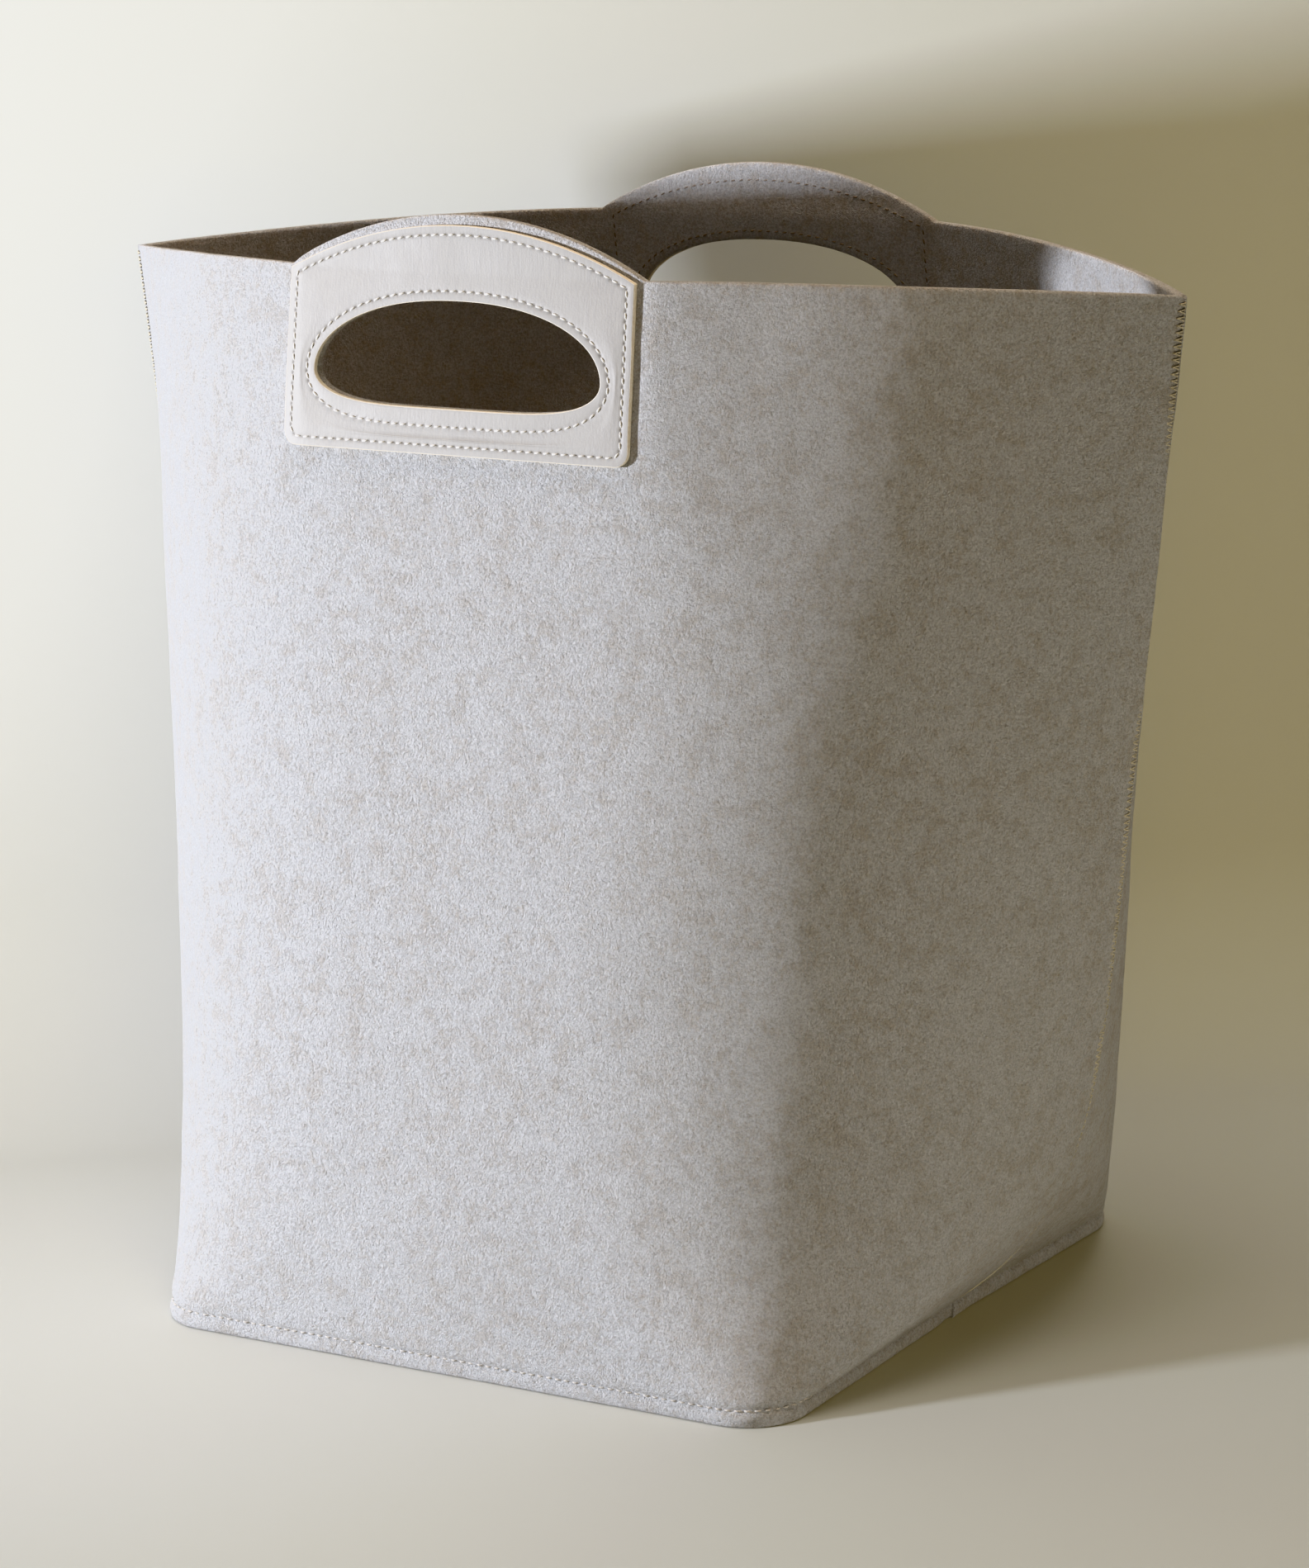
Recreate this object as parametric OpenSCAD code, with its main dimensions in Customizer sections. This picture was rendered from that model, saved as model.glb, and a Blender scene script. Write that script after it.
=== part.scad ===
// Felt storage bin with a rounded square base, a pointed oval mouth and two arched hand holds.
// Two felt walls are butted at the sides with zigzag seams and sewn to a felt base along a low hem.
// Units are millimetres. The origin is at the middle of the base, on the floor, with +Z up and the
// front wall towards -Y. A place on a wall is given as [s, v]: s runs along the wall from its middle,
// and v is the height.

/* [Base] */
// Width of the base, from side to side
base_w = 300; // [260:1:360]
// Depth of the base, from front to back
base_d = 315; // [270:1:370]
// Radius of the base's corners
base_r = 25; // [15:1:40]
// Height of the sewn hem above the floor
hem_h = 7; // [5:0.5:10]

/* [Walls] */
// Height of the rim beside the handles
rim_h = 442; // [380:1:500]
// How much lower the rim is at the side seams
rim_drop = 11; // [0:1:20]
// Length of half a wall along the rim, from its middle to a side seam
rim_len = 290; // [280:1:296]
// Thickness of the felt
felt_t = 4; // [3:0.5:5]

/* [Handles] */
// Half of the width of a handle's arch at the rim
arch_w = 85; // [80:1:90]
// Rise of the arch above the rim
arch_h = 22.5; // [15:0.5:30]
// How far the front handle sits off the middle
front_shift = -5; // [-8:1:8]
// Half of the width of the hand hole
hole_w = 68; // [55:1:70]
// Height of the hand hole's widest level
hole_v = 402; // [396:1:405]
// Rise of the hand hole above its widest level
hole_up = 29; // [20:1:30]
// Depth of the hand hole below its widest level
hole_down = 13; // [10:1:15]

/* [Facings] */
// Half of the width of the leather facing
facing_w = 82; // [78:1:84]
// Height of the facing's lower edge
facing_low = 371; // [366:1:378]
// Height of the facing's upper corners
facing_corner = 441; // [436:1:441]
// Rise of the facing's arched top above its corners
facing_arch = 19.5; // [12:0.5:21]
// Radius of the facing's lower corners
facing_r = 6; // [3:0.5:10]
// Thickness of the leather
leather_t = 2.2; // [1.5:0.1:3]

/* [Threads] */
// Radius of the sewing thread
thread_r = 0.5; // [0.3:0.1:0.8]
// Pitch of the straight stitches
stitch = 4.1; // [3:0.1:6]
// Pitch of the zigzag in the side seams
zigzag = 5; // [4:0.5:8]
// Half of the width of the zigzag
zigzag_w = 3; // [2:0.5:4]

/* [Hidden] */

FELT = "#dedad3";
FELT_BASE = "#d2cdc4";
LEATHER = "#cfc9c0";
THREAD = "#f2efe9";
SEAM_THREAD = "#8f855f";

// The outline turns from the front to the seam. Its turn is 91.4 degrees at the base, so that the
// side edges dip inward to the seam, and 48.5 degrees at the rim.
turn_base = 91.4;
turn_rim = 48.5;
turn_power = 1.65;
// Part of the turn gathers in a crease beside the handle, more of it towards the rim
crease_s = 82;
crease_turn = 22.3;
crease_power = 1.35;
crease_len = 8;
// Below the handle the crease opens into a broad roll
crease_spread = 150;
crease_foot = 0.90;
crease_fade = 0.22;
// The rest is the corner's round: tight at the base, and spread along the wall above it
corner_a = base_w / 2 - base_r;
corner_b = corner_a + turn_base * PI / 180 * base_r;
round_a = [25, 84];
round_b = [330, 292];
round_fade = 0.118;
drop_power = 1.56;
base_len = corner_b + base_d / 2 - base_r;
steps = 75;
gap = 0.05;
hole_power_up = 2.2;
hole_power_down = 4.5;

function limit(t) = min(max(t, 0), 1);
function smooth(t) = let (c = limit(t)) c * c * (3 - 2 * c);
function mix(a, b, t) = a + (b - a) * t;

function crease_width(h) = mix(crease_len, crease_spread, smooth((crease_foot - h) / crease_fade));

// Direction of the outline at arc length s and height fraction h, in degrees from +X
function turn(s, h) =
    let (total = turn_base - (turn_base - turn_rim) * pow(h, turn_power),
         crease = crease_turn * pow(h, crease_power),
         keep = exp(-h / round_fade),
         a = mix(mix(round_a[0], round_a[1], h), corner_a, keep),
         b = mix(mix(round_b[0], round_b[1], h), corner_b, keep))
    (total - crease) * limit((s - a) / (b - a)) + crease * smooth((s - crease_s) / crease_width(h) + 0.5);

// Half of the outline at height fraction h, as [arc length, x, y, direction], with y from the middle
function outline(h) =
    let (d = mix(base_len, rim_len, h) / steps)
    [for (i = 0, x = 0, y = 0, a = turn(0, h), b = turn(d, h);
          i <= steps;
          x = x + d * (cos(a) + cos(b)) / 2, y = y + d * (sin(a) + sin(b)) / 2,
          i = i + 1, a = b, b = turn((i + 1) * d, h))
        [i * d, x, y, a]];

function along(line, s) =
    let (d = line[1][0], i = min(floor(s / d), steps - 1), f = s / d - i)
    line[i] * (1 - f) + line[i + 1] * f;

function fraction(v) = limit((v - hem_h) / (rim_h - hem_h));

// A point of the front wall at [s, v], off the outer face by out. Points inside the felt are
// mitred towards the seam, so that the front and back walls meet in the plane y = 0.
function wall_point(s, v, out = 0) =
    let (h = fraction(v),
         line = outline(h),
         end = line[steps],
         a = min(abs(s) / base_len, 1) * end[0],
         mitre = out < 0 ? out / tan(end[3]) * smooth((a - end[0] + 20) / 20) : 0,
         p = along(line, a + mitre),
         q = limit((a - crease_s) / (end[0] - crease_s)))
    [(s < 0 ? -1 : 1) * (p[1] + out * sin(p[3])),
     p[2] - end[2] - out * cos(p[3]),
     v - rim_drop * pow(q, drop_power) * h];

// Rise of a circular arch of half width w and height h at distance u from its middle
function arch(u, w, h) =
    let (r = (w * w + h * h) / (2 * h))
    abs(u) >= w ? 0 : sqrt(r * r - u * u) - (r - h);

function in_hole(u) = abs(u) < hole_w - 0.01;
function hole_low(u) = hole_v - hole_down * sqrt(1 - pow(min(abs(u) / hole_w, 1), hole_power_down));
function hole_high(u) = hole_v + hole_up * sqrt(1 - pow(min(abs(u) / hole_w, 1), hole_power_up));

function wall_top(u) = rim_h + arch(u, arch_w, arch_h);
function facing_top(u) = facing_corner + arch(u, facing_w, facing_arch);
function facing_bottom(u) =
    let (c = max(abs(u) - (facing_w - facing_r), 0))
    facing_low + facing_r - sqrt(max(facing_r * facing_r - c * c, 0));

hole_cols = [for (k = [-8:8]) hole_w * sin(k * 90 / 8)];

// Columns from the hand hole's end to the seam, for the side where the hole's end is at a
function side_cols(a, foot) = concat(
    [for (k = [1:5]) mix(a, foot, k / 5)],
    [for (k = [1:4]) mix(foot, 100, k / 4)],
    [112],
    [for (k = [0:8]) mix(corner_a, corner_b, k / 8)],
    [190, 215, 240, 265, 284, base_len]);

function flip(list) = [for (k = [len(list) - 1:-1:0]) -list[k]];

function wall_cols(shift) = concat(
    flip(side_cols(hole_w - shift, arch_w - shift)),
    [for (u = hole_cols) u + shift],
    side_cols(hole_w + shift, arch_w + shift));

function facing_cols(shift) =
    let (end = [70, 73, 76, 78, 79.8, 81.2, facing_w])
    [for (u = concat(flip(end), hole_cols, end)) u + shift];

// A closed sheet that follows the front wall, with a hand hole through it. low_rows and high_rows
// hold each row's fraction of the way up to the hole and from the hole to the top. The sheet
// starts at foot(u), or at the floor and then at the hem where floor_row is set.
module sheet(cols, shift, foot, top, low_rows, high_rows, inner, outer, floor_row = false) {
    nl = len(low_rows) + (floor_row ? 1 : 0);
    per = nl + len(high_rows);
    nc = len(cols);
    function low_v(u, j) = floor_row && j == 0 ? 0
        : mix(foot(u), hole_low(u), low_rows[floor_row ? j - 1 : j]);
    function column(s, out) = let (u = s - shift) concat(
        [for (j = [0:nl - 1]) wall_point(s, low_v(u, j), out)],
        [for (t = high_rows) wall_point(s, mix(hole_high(u), top(u), t), out)]);
    points = [for (out = [outer, inner]) for (s = cols) each column(s, out)];
    // Index of the point in skin k, column i and row j, where the rows on each side of the hole's
    // level are one row outside the hole
    function id(k, i, j) = k * nc * per + i * per + (j == nl && !in_hole(cols[i] - shift) ? nl - 1 : j);
    function quad(a, b, c, d) = [[a, b, c], [a, c, d]];
    rows = [for (j = [0:per - 2]) if (j != nl - 1) j];
    skins = [for (i = [0:nc - 2]) for (j = rows) each concat(
        quad(id(0, i, j), id(0, i, j + 1), id(0, i + 1, j + 1), id(0, i + 1, j)),
        quad(id(1, i, j), id(1, i + 1, j), id(1, i + 1, j + 1), id(1, i, j + 1)))];
    ends = [for (j = rows) each concat(
        quad(id(0, 0, j), id(1, 0, j), id(1, 0, j + 1), id(0, 0, j + 1)),
        quad(id(0, nc - 1, j), id(0, nc - 1, j + 1), id(1, nc - 1, j + 1), id(1, nc - 1, j)))];
    edges = [for (i = [0:nc - 2]) each concat(
        quad(id(0, i, 0), id(0, i + 1, 0), id(1, i + 1, 0), id(1, i, 0)),
        quad(id(0, i, per - 1), id(1, i, per - 1), id(1, i + 1, per - 1), id(0, i + 1, per - 1)))];
    hole = [for (i = [0:nc - 2]) if (in_hole(cols[i] - shift) || in_hole(cols[i + 1] - shift)) each concat(
        quad(id(0, i, nl - 1), id(1, i, nl - 1), id(1, i + 1, nl - 1), id(0, i + 1, nl - 1)),
        quad(id(0, i, nl), id(0, i + 1, nl), id(1, i + 1, nl), id(1, i, nl)))];
    used = [for (f = concat(skins, ends, edges, hole)) if (f[0] != f[1] && f[1] != f[2] && f[2] != f[0]) f];
    polyhedron(points, used);
}

module wall(shift) {
    low = [for (k = [0:10]) pow(k / 10, 1.45)];
    high = [for (k = [0:4]) k / 4];
    sheet(wall_cols(shift), shift, function (u) hem_h, function (u) wall_top(u), low, high,
          -felt_t, 0, true);
}

module facing(shift) {
    rows = [0, 0.33, 0.67, 1];
    sheet(facing_cols(shift), shift, function (u) facing_bottom(u), function (u) facing_top(u),
          rows, rows, gap, gap + leather_t);
}

// Stitches as short three-sided bars, each between the ends of a [start, end, outward] triple
module stitches(bars) {
    function unit(p) = p / norm(p);
    function ring(p, dir, out) =
        let (side = unit(cross(dir, out)), up = cross(side, unit(dir)))
        [for (a = [90, 210, 330]) p + thread_r * (cos(a) * side + sin(a) * up)];
    points = [for (b = bars) each concat(ring(b[0], b[1] - b[0], b[2]), ring(b[1], b[1] - b[0], b[2]))];
    faces = [for (i = [0:len(bars) - 1]) let (n = 6 * i) each [
        [n, n + 1, n + 2], [n + 3, n + 5, n + 4],
        [n, n + 3, n + 4], [n, n + 4, n + 1], [n + 1, n + 4, n + 5],
        [n + 1, n + 5, n + 2], [n + 2, n + 5, n + 3], [n + 2, n + 3, n]]];
    polyhedron(points, faces);
}

// The bar from [s, v] place a to place b on the front wall, off its outer face by out
function bar(a, b, out) =
    let (p = wall_point(a[0], a[1], out))
    [p, wall_point(b[0], b[1], out), wall_point(a[0], a[1], out + 1) - p];

// Distances along a line of points, and the place at distance t along it
function distances(line) =
    [for (i = 0, d = 0; i < len(line); i = i + 1, d = i < len(line) ? d + norm(line[i] - line[i - 1]) : d) d];
function place(line, dist, t) =
    [for (k = [0, 1]) lookup(t, [for (i = [0:len(line) - 1]) [dist[i], line[i][k]]])];

// Evenly pitched stitches along a line of [s, v] places
module stitch_row(line, out, drawn = 0.62) {
    dist = distances(line);
    total = dist[len(dist) - 1];
    n = round(total / stitch);
    pitch = total / n;
    stitches([for (i = [0:n - 1])
        bar(place(line, dist, i * pitch), place(line, dist, (i + drawn) * pitch), out)]);
}

facing_out = gap + leather_t + thread_r;
edge_inset = 3.6;
hole_inset = 3.8;
hole_inset_low = 7;

// The row along the facing's edge, from its upper left corner round by the bottom
module edge_row(shift) {
    w = facing_w - edge_inset;
    r = facing_r - edge_inset / 2;
    low = facing_low + edge_inset;
    top = function (u) facing_top(u) - edge_inset * 1.02;
    line = concat(
        [[-w, top(w)]],
        [for (a = [180:15:270]) [-w + r + r * cos(a), low + r + r * sin(a)]],
        [for (a = [270:15:360]) [w - r + r * cos(a), low + r + r * sin(a)]],
        [for (k = [0:24]) let (u = mix(w, -w, k / 24)) [u, top(u)]]);
    stitch_row([for (p = line) [p[0] + shift, p[1]]], facing_out);
}

// The row round the hand hole, wider below it
module hole_row(shift) {
    w = hole_w + hole_inset;
    function place_at(a) = sin(a) >= 0
        ? [w * sign(cos(a)) * pow(abs(cos(a)), 2 / hole_power_up), hole_v + (hole_up + hole_inset) * sin(a)]
        : [w * sign(cos(a)) * pow(abs(cos(a)), 2 / hole_power_down),
           hole_v + (hole_down + hole_inset_low) * sin(a)];
    stitch_row([for (k = [0:72]) place_at(k * 5) + [shift, 0]], facing_out);
}

// The topstitch above the hem, along one wall from seam to seam
module hem_row() {
    inset = 4;
    end = base_len - inset;
    stitch_row([for (k = [0:60]) [mix(-end, end, k / 60), hem_h]], thread_r);
}

// The zigzag over the seam at the end of the walls, on the side given by dir
module seam_row(dir) {
    first = hem_h + 2;
    last = rim_h - 3;
    n = floor((last - first) / zigzag);
    reach = base_len - zigzag_w;
    function front(v) = wall_point(dir * reach, v, thread_r);
    function ridge(v) = wall_point(dir * base_len, v, 0) + [dir * thread_r, 0, 0];
    function back(v) = [front(v)[0], -front(v)[1], front(v)[2]];
    stitches([for (i = [0:n - 1]) let (v = first + i * zigzag, q = zigzag / 4) each [
        [front(v), ridge(v + q), [dir, -1, 0]],
        [ridge(v + q), back(v + 2 * q), [dir, 1, 0]],
        [back(v + 2 * q), ridge(v + 3 * q), [dir, 1, 0]],
        [ridge(v + 3 * q), front(v + 4 * q), [dir, -1, 0]]]]);
}

// Outline of the base panel, inside the walls' inner face, as a closed ring in the plane
function base_ring(inset) =
    let (line = [for (s = [0, corner_a, for (k = [1:8]) mix(corner_a, corner_b, k / 8), base_len])
                    along(outline(0), s)],
         end = line[len(line) - 1][2],
         quarter = [for (p = line) [p[1] - inset * sin(p[3]), p[2] - end + inset * cos(p[3])]],
         half = concat([for (k = [len(quarter) - 1:-1:1]) [-quarter[k][0], quarter[k][1]]], quarter))
    concat(half, [for (k = [len(half) - 2:-1:1]) [half[k][0], -half[k][1]]]);

module base_panel() {
    color(FELT_BASE)
    difference() {
        linear_extrude(hem_h) polygon(base_ring(felt_t + gap));
        translate([0, 0, felt_t]) linear_extrude(hem_h) polygon(base_ring(2 * felt_t + gap));
    }
}

module back() { mirror([0, 1, 0]) children(); }

module front_wall() { color(FELT) wall(front_shift); }
module back_wall() { color(FELT) back() wall(0); }
module front_handle_facing() { color(LEATHER) facing(front_shift); }
module back_handle_facing() { color(LEATHER) back() facing(0); }
module front_facing_edge_thread() { color(THREAD) edge_row(front_shift); }
module front_facing_hole_thread() { color(THREAD) hole_row(front_shift); }
module back_facing_edge_thread() { color(THREAD) back() edge_row(0); }
module back_facing_hole_thread() { color(THREAD) back() hole_row(0); }
module left_seam_thread() { color(SEAM_THREAD) seam_row(-1); }
module right_seam_thread() { color(SEAM_THREAD) seam_row(1); }
module front_hem_thread() { color(THREAD) hem_row(); }
module back_hem_thread() { color(THREAD) back() hem_row(); }

front_wall();
back_wall();
base_panel();
front_handle_facing();
back_handle_facing();
front_facing_edge_thread();
front_facing_hole_thread();
back_facing_edge_thread();
back_facing_hole_thread();
left_seam_thread();
right_seam_thread();
front_hem_thread();
back_hem_thread();
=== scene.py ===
"""Looks of the felt storage bin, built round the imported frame.

Lengths are in metres and angles in degrees. A place on a wall is (s, v): s runs along the wall
from its middle and v is the height. out is the distance off the wall's outer face.
"""

import math

import bpy
import numpy as np
from mathutils import Matrix, Vector


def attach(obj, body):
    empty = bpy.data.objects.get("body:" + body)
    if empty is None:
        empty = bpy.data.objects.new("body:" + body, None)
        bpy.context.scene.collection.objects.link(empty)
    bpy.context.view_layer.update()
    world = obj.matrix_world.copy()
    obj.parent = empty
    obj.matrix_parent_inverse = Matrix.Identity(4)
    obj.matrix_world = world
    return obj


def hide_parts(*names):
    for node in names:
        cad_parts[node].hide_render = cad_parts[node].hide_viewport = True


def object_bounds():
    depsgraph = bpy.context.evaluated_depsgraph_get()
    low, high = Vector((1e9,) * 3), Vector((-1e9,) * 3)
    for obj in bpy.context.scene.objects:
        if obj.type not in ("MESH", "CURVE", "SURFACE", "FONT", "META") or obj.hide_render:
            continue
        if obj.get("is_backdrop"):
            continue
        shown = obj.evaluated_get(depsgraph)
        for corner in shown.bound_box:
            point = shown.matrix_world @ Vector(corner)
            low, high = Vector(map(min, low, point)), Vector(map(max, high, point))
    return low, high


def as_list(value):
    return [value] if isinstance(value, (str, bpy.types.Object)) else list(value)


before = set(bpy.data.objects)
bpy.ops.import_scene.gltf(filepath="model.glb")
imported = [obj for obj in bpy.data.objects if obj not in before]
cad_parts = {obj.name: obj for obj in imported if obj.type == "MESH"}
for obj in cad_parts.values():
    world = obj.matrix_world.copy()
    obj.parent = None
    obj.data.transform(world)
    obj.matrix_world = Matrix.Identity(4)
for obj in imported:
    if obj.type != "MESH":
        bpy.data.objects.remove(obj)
cad_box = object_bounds()

# ---------------------------------------------------------------- driving sizes, as in the CAD

BASE_W, BASE_D, BASE_R = 0.300, 0.315, 0.025
HEM_H = 0.007
RIM_H, RIM_DROP, RIM_LEN = 0.442, 0.011, 0.290
FELT_T = 0.004
ARCH_W, ARCH_H = 0.085, 0.0225
FRONT_SHIFT, BACK_SHIFT = -0.005, 0.0
HOLE_W, HOLE_V, HOLE_UP, HOLE_DOWN = 0.068, 0.402, 0.029, 0.013
HOLE_POWER_UP, HOLE_POWER_DOWN = 2.2, 4.5
FACING_W, FACING_LOW, FACING_CORNER, FACING_ARCH = 0.082, 0.371, 0.441, 0.0195
FACING_R = 0.006
LEATHER_T = 0.0022
GAP = 0.00005
STITCH = 0.0041
EDGE_INSET, HOLE_INSET, HOLE_INSET_LOW = 0.0036, 0.0038, 0.007

TURN_BASE, TURN_RIM, TURN_POWER = 91.4, 48.5, 1.65
CREASE_S, CREASE_TURN, CREASE_POWER, CREASE_LEN = 0.082, 22.3, 1.35, 0.008
CREASE_SPREAD, CREASE_FOOT, CREASE_FADE = 0.150, 0.90, 0.22
ROUND_A, ROUND_B, ROUND_FADE = (0.025, 0.084), (0.330, 0.292), 0.118
DROP_POWER = 1.56
CORNER_A = BASE_W / 2 - BASE_R
CORNER_B = CORNER_A + math.radians(TURN_BASE) * BASE_R
BASE_LEN = CORNER_B + BASE_D / 2 - BASE_R
FRONT, BACK = -1, 1


def limit(t):
    return np.clip(t, 0.0, 1.0)


def smooth(t):
    c = limit(t)
    return c * c * (3 - 2 * c)


def mix(a, b, t):
    return a + (b - a) * t


# ---------------------------------------------------------------- the wall surface

H_ROWS, S_COLS = 300, 700


def turn(s, h):
    """Direction of the outline at arc length s and height fraction h, in radians from +X."""
    length = mix(CREASE_LEN, CREASE_SPREAD, smooth((CREASE_FOOT - h) / CREASE_FADE))
    total = TURN_BASE - (TURN_BASE - TURN_RIM) * h**TURN_POWER
    crease = CREASE_TURN * h**CREASE_POWER
    keep = np.exp(-h / ROUND_FADE)
    a = mix(mix(*ROUND_A, h), CORNER_A, keep)
    b = mix(mix(*ROUND_B, h), CORNER_B, keep)
    gathered = crease * smooth((s - CREASE_S) / length + 0.5)
    return np.radians((total - crease) * limit((s - a) / (b - a)) + gathered)


def outline_table():
    """x, y and direction of half the outline, at H_ROWS heights and S_COLS shares of its length."""
    h = np.linspace(0, 1, H_ROWS)[:, None]
    s = np.linspace(0, 1, S_COLS)[None, :] * mix(BASE_LEN, RIM_LEN, h)
    angle = turn(s, h)
    step = np.diff(s, axis=1)

    def integral(g):
        return np.pad(np.cumsum((g[:, 1:] + g[:, :-1]) / 2 * step, axis=1), ((0, 0), (1, 0)))

    return np.stack([integral(np.cos(angle)), integral(np.sin(angle)), angle], axis=-1)


OUTLINE = outline_table()


def along(h, share):
    """Rows of OUTLINE at height fraction h and share of the length, between its entries."""
    row, col = limit(h) * (H_ROWS - 1), limit(share) * (S_COLS - 1)
    i = np.minimum(row.astype(int), H_ROWS - 2)
    j = np.minimum(col.astype(int), S_COLS - 2)
    a, b = (row - i)[..., None], (col - j)[..., None]
    low = mix(OUTLINE[i, j], OUTLINE[i, j + 1], b)
    high = mix(OUTLINE[i + 1, j], OUTLINE[i + 1, j + 1], b)
    return mix(low, high, a)


def wall_point(s, v, out, side):
    """Points of the front or back wall. Points inside the felt are mitred towards the seam."""
    s, v, out = np.broadcast_arrays(*(np.asarray(a, float) for a in (s, v, out)))
    h = limit((v - HEM_H) / (RIM_H - HEM_H))
    length = mix(BASE_LEN, RIM_LEN, h)
    end = along(h, np.ones_like(h))
    arc = np.minimum(np.abs(s) / BASE_LEN, 1) * length
    near_seam = smooth((arc - length + 0.020) / 0.020)
    mitre = np.where(out < 0, out / np.tan(end[..., 2]) * near_seam, 0)
    p = along(h, (arc + mitre) / length)
    drop = RIM_DROP * limit((arc - CREASE_S) / (length - CREASE_S)) ** DROP_POWER * h
    x = np.where(s < 0, -1, 1) * (p[..., 0] + out * np.sin(p[..., 2]))
    y = p[..., 1] - end[..., 1] - out * np.cos(p[..., 2])
    return np.stack([x, -side * y, v - drop], axis=-1)


def arch(u, w, h):
    """Rise of a circular arch of half width w and height h at distance u from its middle."""
    r = (w * w + h * h) / (2 * h)
    return np.maximum(np.sqrt(np.maximum(r * r - u * u, 0)) - (r - h), 0) * (np.abs(u) < w)


def hole_low(u):
    return HOLE_V - HOLE_DOWN * np.sqrt(1 - limit(np.abs(u) / HOLE_W) ** HOLE_POWER_DOWN)


def hole_high(u):
    return HOLE_V + HOLE_UP * np.sqrt(1 - limit(np.abs(u) / HOLE_W) ** HOLE_POWER_UP)


def noise(x, y, cell, seed):
    """Smooth noise from -1 to 1 on a lattice of that cell size."""
    size = 64
    lattice = np.random.default_rng(seed).uniform(-1, 1, (size, size))
    gx, gy = x / cell + size / 2, y / cell + size / 2
    i, j = np.floor(gx).astype(int), np.floor(gy).astype(int)
    fx, fy = smooth(gx - i), smooth(gy - j)
    low = mix(lattice[i % size, j % size], lattice[(i + 1) % size, j % size], fx)
    high = mix(lattice[i % size, (j + 1) % size], lattice[(i + 1) % size, (j + 1) % size], fx)
    return mix(low, high, fy)


# ---------------------------------------------------------------- mesh making


def add_mesh(name, points, faces, materials, indices=None, flip=False, attributes=None):
    """A smooth mesh object from point and face arrays, one material index per face."""
    faces = [f[::-1] for f in faces] if flip else faces
    mesh = bpy.data.meshes.new(name)
    mesh.vertices.add(len(points))
    mesh.vertices.foreach_set("co", np.asarray(points, np.float32).ravel())
    sizes = np.concatenate([np.full(len(f), f.shape[1]) for f in faces])
    corners = np.concatenate([f.ravel() for f in faces])
    mesh.loops.add(len(corners))
    mesh.loops.foreach_set("vertex_index", corners.astype(np.int32))
    mesh.polygons.add(len(sizes))
    mesh.polygons.foreach_set("loop_start", (np.cumsum(sizes) - sizes).astype(np.int32))
    for m in materials:
        mesh.materials.append(m)
    if indices is not None:
        mesh.polygons.foreach_set("material_index", np.asarray(indices, np.int32))
    for key, values in (attributes or {}).items():
        mesh.attributes.new(key, "FLOAT", "POINT").data.foreach_set("value", values.astype(np.float32))
    mesh.update(calc_edges=True)
    mesh.validate()
    mesh.shade_smooth()
    obj = bpy.data.objects.new(name, mesh)
    bpy.context.scene.collection.objects.link(obj)
    return obj


def flipped(faces, flip):
    return faces[:, ::-1] if flip else faces


def mitred(loop):
    """Outward directions at the corners of a closed loop whose outside is on its right."""
    back = loop - np.roll(loop, 1, axis=0)
    ahead = np.roll(loop, -1, axis=0) - loop
    na, nb = (np.stack([d[:, 1], -d[:, 0]], axis=1) for d in (back, ahead))
    na /= np.linalg.norm(na, axis=1, keepdims=True)
    nb /= np.linalg.norm(nb, axis=1, keepdims=True)
    m = na + nb
    m /= np.linalg.norm(m, axis=1, keepdims=True)
    return m / np.maximum((m * na).sum(1, keepdims=True), 0.6)


def edge_profile(radius, thickness, steps):
    """(inset, depth) of the rings over a rounded edge, between the outer and the inner skin."""
    angles = [math.pi / 2 * k / steps for k in range(1, steps + 1)]
    outer = [(radius * (1 - math.sin(a)), radius * (1 - math.cos(a))) for a in angles]
    return outer + [(inset, thickness - depth) for inset, depth in outer[::-1]]


def edge_radius(edge):
    """The edges are cut square at the seams, where they butt, and felted round elsewhere."""
    at_seam = (np.abs(edge[:, 0]) > BASE_LEN - 0.0001) & (edge[:, 1] < RIM_H - 0.0001)
    return np.where(at_seam, SEAM_ROUND, EDGE_ROUND)


# ---------------------------------------------------------------- felt walls

EDGE_ROUND, SEAM_ROUND = 0.0010, 0.0003
EDGE_STEPS = 3
HOLE_STEPS = 34
GRID, ROW_STRETCH = 0.0029, 1.04
GRAIN_CELL, GRAIN_H = 0.0065, 0.00009
HEM_ROWS = [0, 2.3, 3.2, 4.1, 5.0, 5.7, 6.3, 6.9, 7.5, 8.1, 8.9, 10.0, 11.6, 13.8]
HIGH_ROWS = 14


def wall_columns(shift):
    """Places of the grid columns, and the number of the one at the hole's left end."""
    def side(a):
        foot = ARCH_W - HOLE_W + a
        near = np.linspace(a, foot, 7)[1:]
        count = round((BASE_LEN - foot) / GRID)
        return np.concatenate([near, np.linspace(foot, BASE_LEN, count + 1)[1:]])

    hole = HOLE_W * np.sin(np.linspace(-90, 90, 2 * HOLE_STEPS + 1) * math.pi / 180) + shift
    left, right = side(HOLE_W - shift), side(HOLE_W + shift)
    return np.concatenate([-left[::-1], hole, right]), len(left)


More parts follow.
